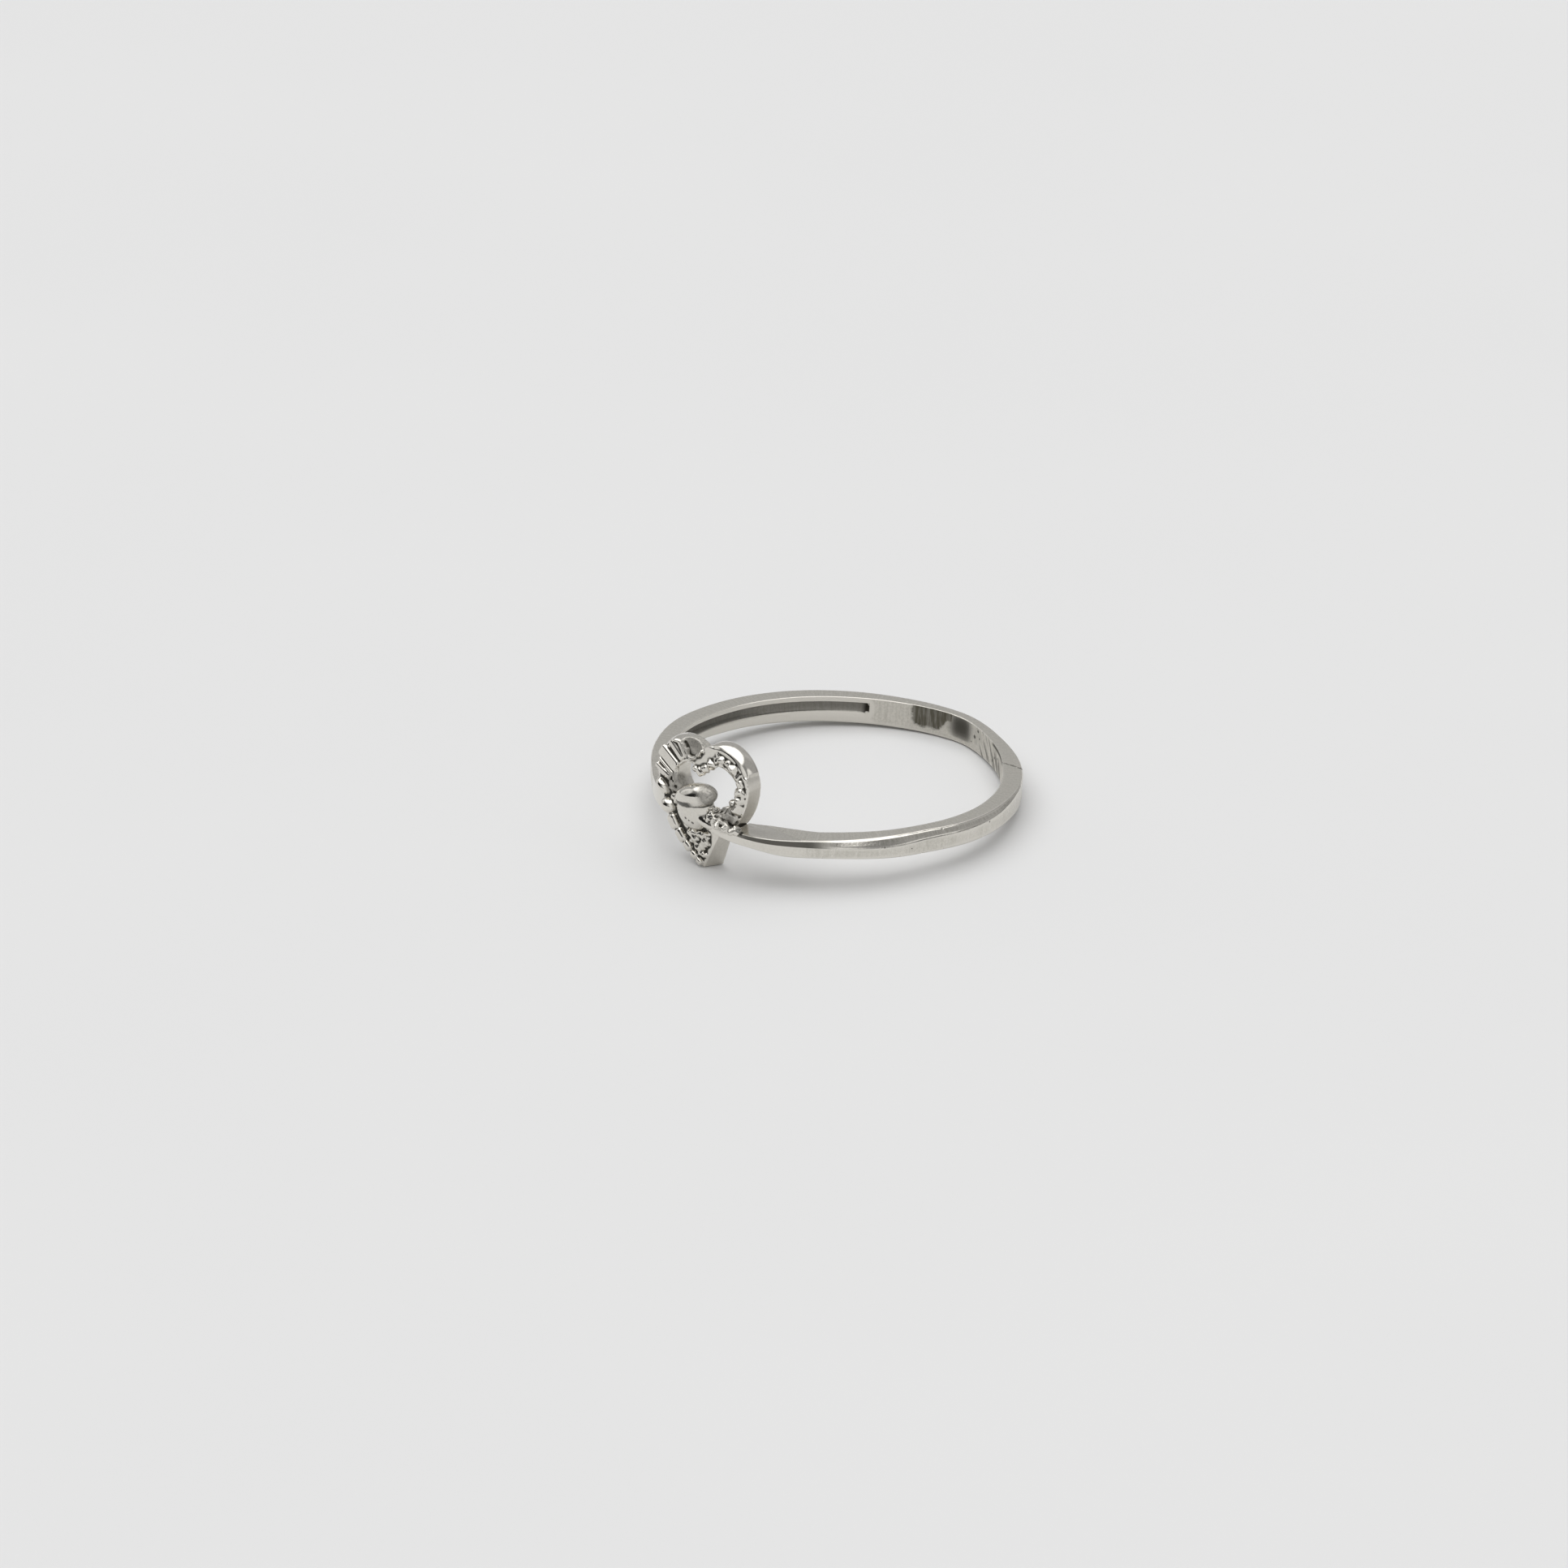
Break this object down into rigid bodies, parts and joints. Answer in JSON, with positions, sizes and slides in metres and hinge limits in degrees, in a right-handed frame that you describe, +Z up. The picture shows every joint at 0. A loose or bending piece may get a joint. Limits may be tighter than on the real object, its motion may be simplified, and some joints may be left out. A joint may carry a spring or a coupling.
{
  "type": "heart ring",
  "caption": "Cast finger ring with an open heart: ribbed left limb, beaded right limb, and a shank arm that crosses it and ends in a bud.",
  "frame": {"origin": "centre of the bounding box's base, on the surface that the ring lies on", "axes": "+Z up from that surface, -Y towards the side that the heart faces, +X to the right of someone who looks at the heart"},
  "size_m": [0.0192, 0.0204, 0.0068],
  "materials": {
    "silver": "polished cast silver, worn, with dark tarnish in the recesses"
  },
  "bodies": {
    "root": {"heart_ring": "silver"}
  },
  "joints": []
}
